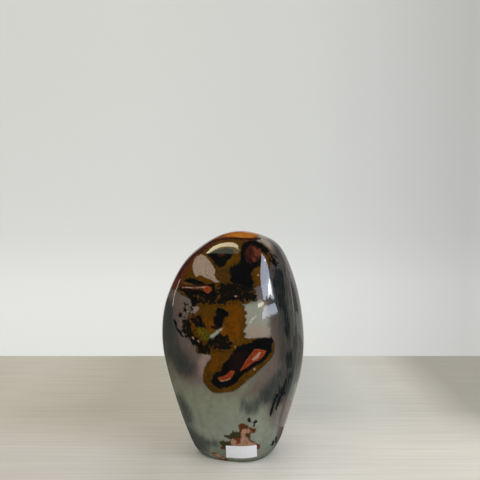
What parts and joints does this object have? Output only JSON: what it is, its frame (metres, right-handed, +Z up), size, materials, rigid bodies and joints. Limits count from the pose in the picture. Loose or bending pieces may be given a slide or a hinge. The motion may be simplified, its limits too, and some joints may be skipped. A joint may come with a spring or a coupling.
{
  "type": "polished jasper freeform",
  "caption": "Tall egg-like polished stone with a broad blunt-ridged front and a small flat sawn foot it stands on, shown on a shelf as an ornament; small bare paper label low on the front",
  "frame": {"origin": "on the table, at the middle of the bottom of the stone's bounding box", "axes": "+Z up along the stone's height, X along its width with the blunt ridge on the +X side, front with the label faces -Y"},
  "size_m": [0.0932, 0.06, 0.145],
  "materials": {
    "polished_jasper": "mirror polish all round, sawn and ground matte on the foot; ochre, sage grey, mauve and black patches",
    "label_paper": "plain uncoated white paper, self-adhesive, nothing on it"
  },
  "bodies": {
    "root": {"stone": "polished_jasper", "paper_label": "label_paper"}
  },
  "joints": []
}
